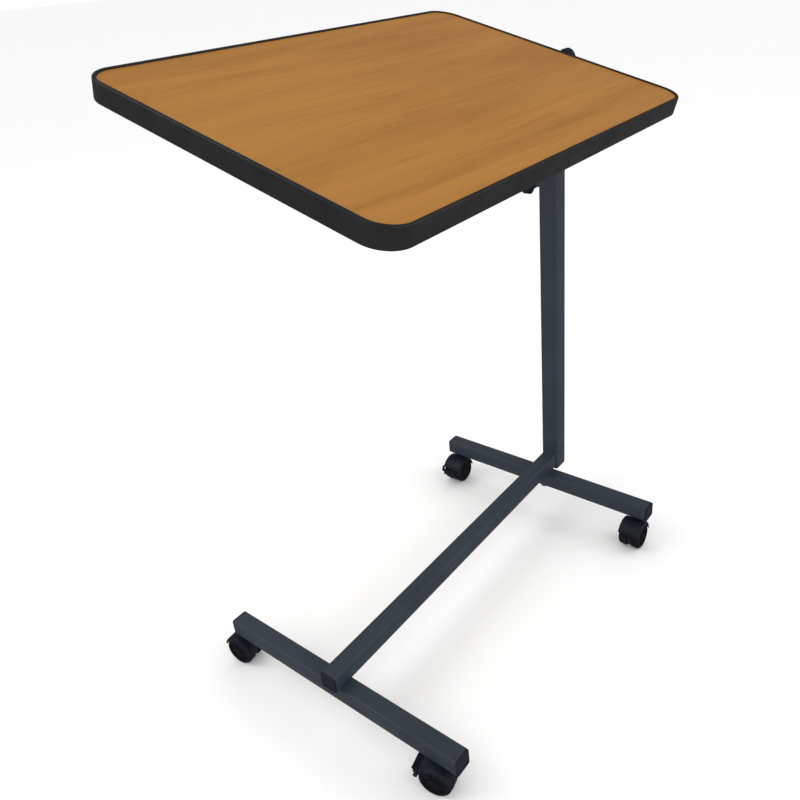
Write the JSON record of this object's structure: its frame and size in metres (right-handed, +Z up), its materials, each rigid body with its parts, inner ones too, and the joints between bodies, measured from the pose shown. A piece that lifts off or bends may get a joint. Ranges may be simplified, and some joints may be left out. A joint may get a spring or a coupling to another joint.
{
  "type": "overbed table",
  "caption": "Rolling overbed table with a tilting wood-grain top on a height-adjustable side mast and a low crossbar base on casters.",
  "frame": {"origin": "on the floor under the middle of the bounding box", "axes": "+Z up, +X along the spine from the mast to the front crossbar, +Y towards the side the top slopes down to"},
  "size_m": [0.6731, 0.4263, 0.8414],
  "materials": {
    "slate_paint": "satin",
    "black_plastic": "fine texture",
    "edge_band": "satin",
    "laminate": "satin wood-grain laminate",
    "chipboard": "raw board",
    "zinc_steel": "zinc plated",
    "tyre": "matte"
  },
  "bodies": {
    "base": {"front_crossbar": "slate_paint", "front_crossbar_plug_left": "black_plastic", "front_crossbar_plug_right": "black_plastic", "rear_crossbar": "slate_paint", "rear_crossbar_plug_left": "black_plastic", "rear_crossbar_plug_right": "black_plastic", "spine_tube": "slate_paint", "spine_end_plug": "black_plastic", "front_spine_bolt": "zinc_steel", "front_spine_bolt_washer": "zinc_steel", "front_spine_rivet_nut": "zinc_steel", "rear_spine_bolt": "zinc_steel", "rear_spine_bolt_washer": "zinc_steel", "rear_spine_rivet_nut": "zinc_steel", "front_left_caster_stem": "zinc_steel", "front_right_caster_stem": "zinc_steel", "rear_left_caster_stem": "zinc_steel", "rear_right_caster_stem": "zinc_steel", "mast_outer_tube": "slate_paint", "mast_foot_plug": "black_plastic", "mast_guide_collar": "black_plastic", "height_clamp_boss": "slate_paint"},
    "lift": {"mast_inner_tube": "slate_paint", "tilt_sleeve": "slate_paint"},
    "height_clamp": {"height_clamp_knob": "black_plastic", "height_clamp_stud": "zinc_steel"},
    "tilting_top": {"top_board": "chipboard", "top_laminate": "laminate", "top_edge_band": "edge_band", "support_bar": "slate_paint", "support_bar_plug": "black_plastic", "support_bar_collar": "slate_paint", "support_bar_insert": "zinc_steel", "rear_support_plate": "slate_paint", "front_support_plate": "slate_paint", "rear_board_screw_left": "zinc_steel", "rear_board_screw_right": "zinc_steel", "front_board_screw_left": "zinc_steel", "front_board_screw_right": "zinc_steel"},
    "tilt_clamp": {"tilt_clamp_knob": "black_plastic", "tilt_clamp_stud": "zinc_steel", "tilt_clamp_washer": "zinc_steel"},
    "front_left_caster": {"front_left_caster_hood": "black_plastic", "front_left_caster_axle": "zinc_steel"},
    "front_left_wheel_left": {"front_left_caster_wheel_left": "tyre"},
    "front_left_wheel_right": {"front_left_caster_wheel_right": "tyre"},
    "front_right_caster": {"front_right_caster_hood": "black_plastic", "front_right_caster_axle": "zinc_steel"},
    "front_right_wheel_left": {"front_right_caster_wheel_left": "tyre"},
    "front_right_wheel_right": {"front_right_caster_wheel_right": "tyre"},
    "front_right_brake": {"front_right_caster_brake_pedal": "black_plastic"},
    "rear_left_caster": {"rear_left_caster_hood": "black_plastic", "rear_left_caster_axle": "zinc_steel"},
    "rear_left_wheel_left": {"rear_left_caster_wheel_left": "tyre"},
    "rear_left_wheel_right": {"rear_left_caster_wheel_right": "tyre"},
    "rear_left_brake": {"rear_left_caster_brake_pedal": "black_plastic"},
    "rear_right_caster": {"rear_right_caster_hood": "black_plastic", "rear_right_caster_axle": "zinc_steel"},
    "rear_right_wheel_left": {"rear_right_caster_wheel_left": "tyre"},
    "rear_right_wheel_right": {"rear_right_caster_wheel_right": "tyre"}
  },
  "joints": [
    {"name": "height_slide", "type": "slide", "parent": "base", "child": "lift", "axis": [0, 0, 1], "range_m": [-0.06, 0.24]},
    {"name": "top_tilt", "type": "hinge", "parent": "lift", "child": "tilting_top", "pos_m": [-0.272, 0.011, 0.75], "axis": [1, 0, 0], "range_deg": [-43.5, 76.5]},
    {"name": "height_clamp_turn", "type": "hinge", "parent": "base", "child": "height_clamp", "pos_m": [-0.272, -0.0155, 0.592], "axis": [0, -1, 0], "range_deg": [0, 360]},
    {"name": "tilt_clamp_turn", "type": "hinge", "parent": "tilting_top", "child": "tilt_clamp", "pos_m": [-0.3111, 0.011, 0.75], "axis": [-1, 0, 0], "range_deg": [0, 360]},
    {"name": "front_left_swivel", "type": "hinge", "parent": "base", "child": "front_left_caster", "pos_m": [0.306, -0.173, 0.047], "axis": [0, 0, 1], "continuous": true},
    {"name": "front_left_wheel_left_spin", "type": "hinge", "parent": "front_left_caster", "child": "front_left_wheel_left", "pos_m": [0.30767, -0.18891, 0.022], "axis": [-0.9945, -0.1045, 0], "continuous": true},
    {"name": "front_left_wheel_right_spin", "type": "hinge", "parent": "front_left_caster", "child": "front_left_wheel_right", "pos_m": [0.30767, -0.18891, 0.022], "axis": [-0.9945, -0.1045, 0], "continuous": true},
    {"name": "front_right_swivel", "type": "hinge", "parent": "base", "child": "front_right_caster", "pos_m": [0.306, 0.189, 0.047], "axis": [0, 0, 1], "continuous": true},
    {"name": "front_right_wheel_left_spin", "type": "hinge", "parent": "front_right_caster", "child": "front_right_wheel_left", "pos_m": [0.3096, 0.17341, 0.022], "axis": [-0.9744, -0.225, 0], "continuous": true},
    {"name": "front_right_wheel_right_spin", "type": "hinge", "parent": "front_right_caster", "child": "front_right_wheel_right", "pos_m": [0.3096, 0.17341, 0.022], "axis": [-0.9744, -0.225, 0], "continuous": true},
    {"name": "front_right_brake_press", "type": "hinge", "parent": "front_right_caster", "child": "front_right_brake", "pos_m": [0.31514, 0.1494, 0.02814], "axis": [-0.9744, -0.225, 0], "range_deg": [-14, 0]},
    {"name": "rear_left_swivel", "type": "hinge", "parent": "base", "child": "rear_left_caster", "pos_m": [-0.238, -0.173, 0.047], "axis": [0, 0, 1], "continuous": true},
    {"name": "rear_left_wheel_left_spin", "type": "hinge", "parent": "rear_left_caster", "child": "rear_left_wheel_left", "pos_m": [-0.222, -0.17272, 0.022], "axis": [0.0175, -0.9998, 0], "continuous": true},
    {"name": "rear_left_wheel_right_spin", "type": "hinge", "parent": "rear_left_caster", "child": "rear_left_wheel_right", "pos_m": [-0.222, -0.17272, 0.022], "axis": [0.0175, -0.9998, 0], "continuous": true},
    {"name": "rear_left_brake_press", "type": "hinge", "parent": "rear_left_caster", "child": "rear_left_brake", "pos_m": [-0.19736, -0.17229, 0.02814], "axis": [0.0175, -0.9998, 0], "range_deg": [-14, 0]},
    {"name": "rear_right_swivel", "type": "hinge", "parent": "base", "child": "rear_right_caster", "pos_m": [-0.238, 0.189, 0.047], "axis": [0, 0, 1], "continuous": true},
    {"name": "rear_right_wheel_left_spin", "type": "hinge", "parent": "rear_right_caster", "child": "rear_right_wheel_left", "pos_m": [-0.22201, 0.18956, 0.022], "axis": [0.0349, -0.9994, 0], "continuous": true},
    {"name": "rear_right_wheel_right_spin", "type": "hinge", "parent": "rear_right_caster", "child": "rear_right_wheel_right", "pos_m": [-0.22201, 0.18956, 0.022], "axis": [0.0349, -0.9994, 0], "continuous": true}
  ]
}
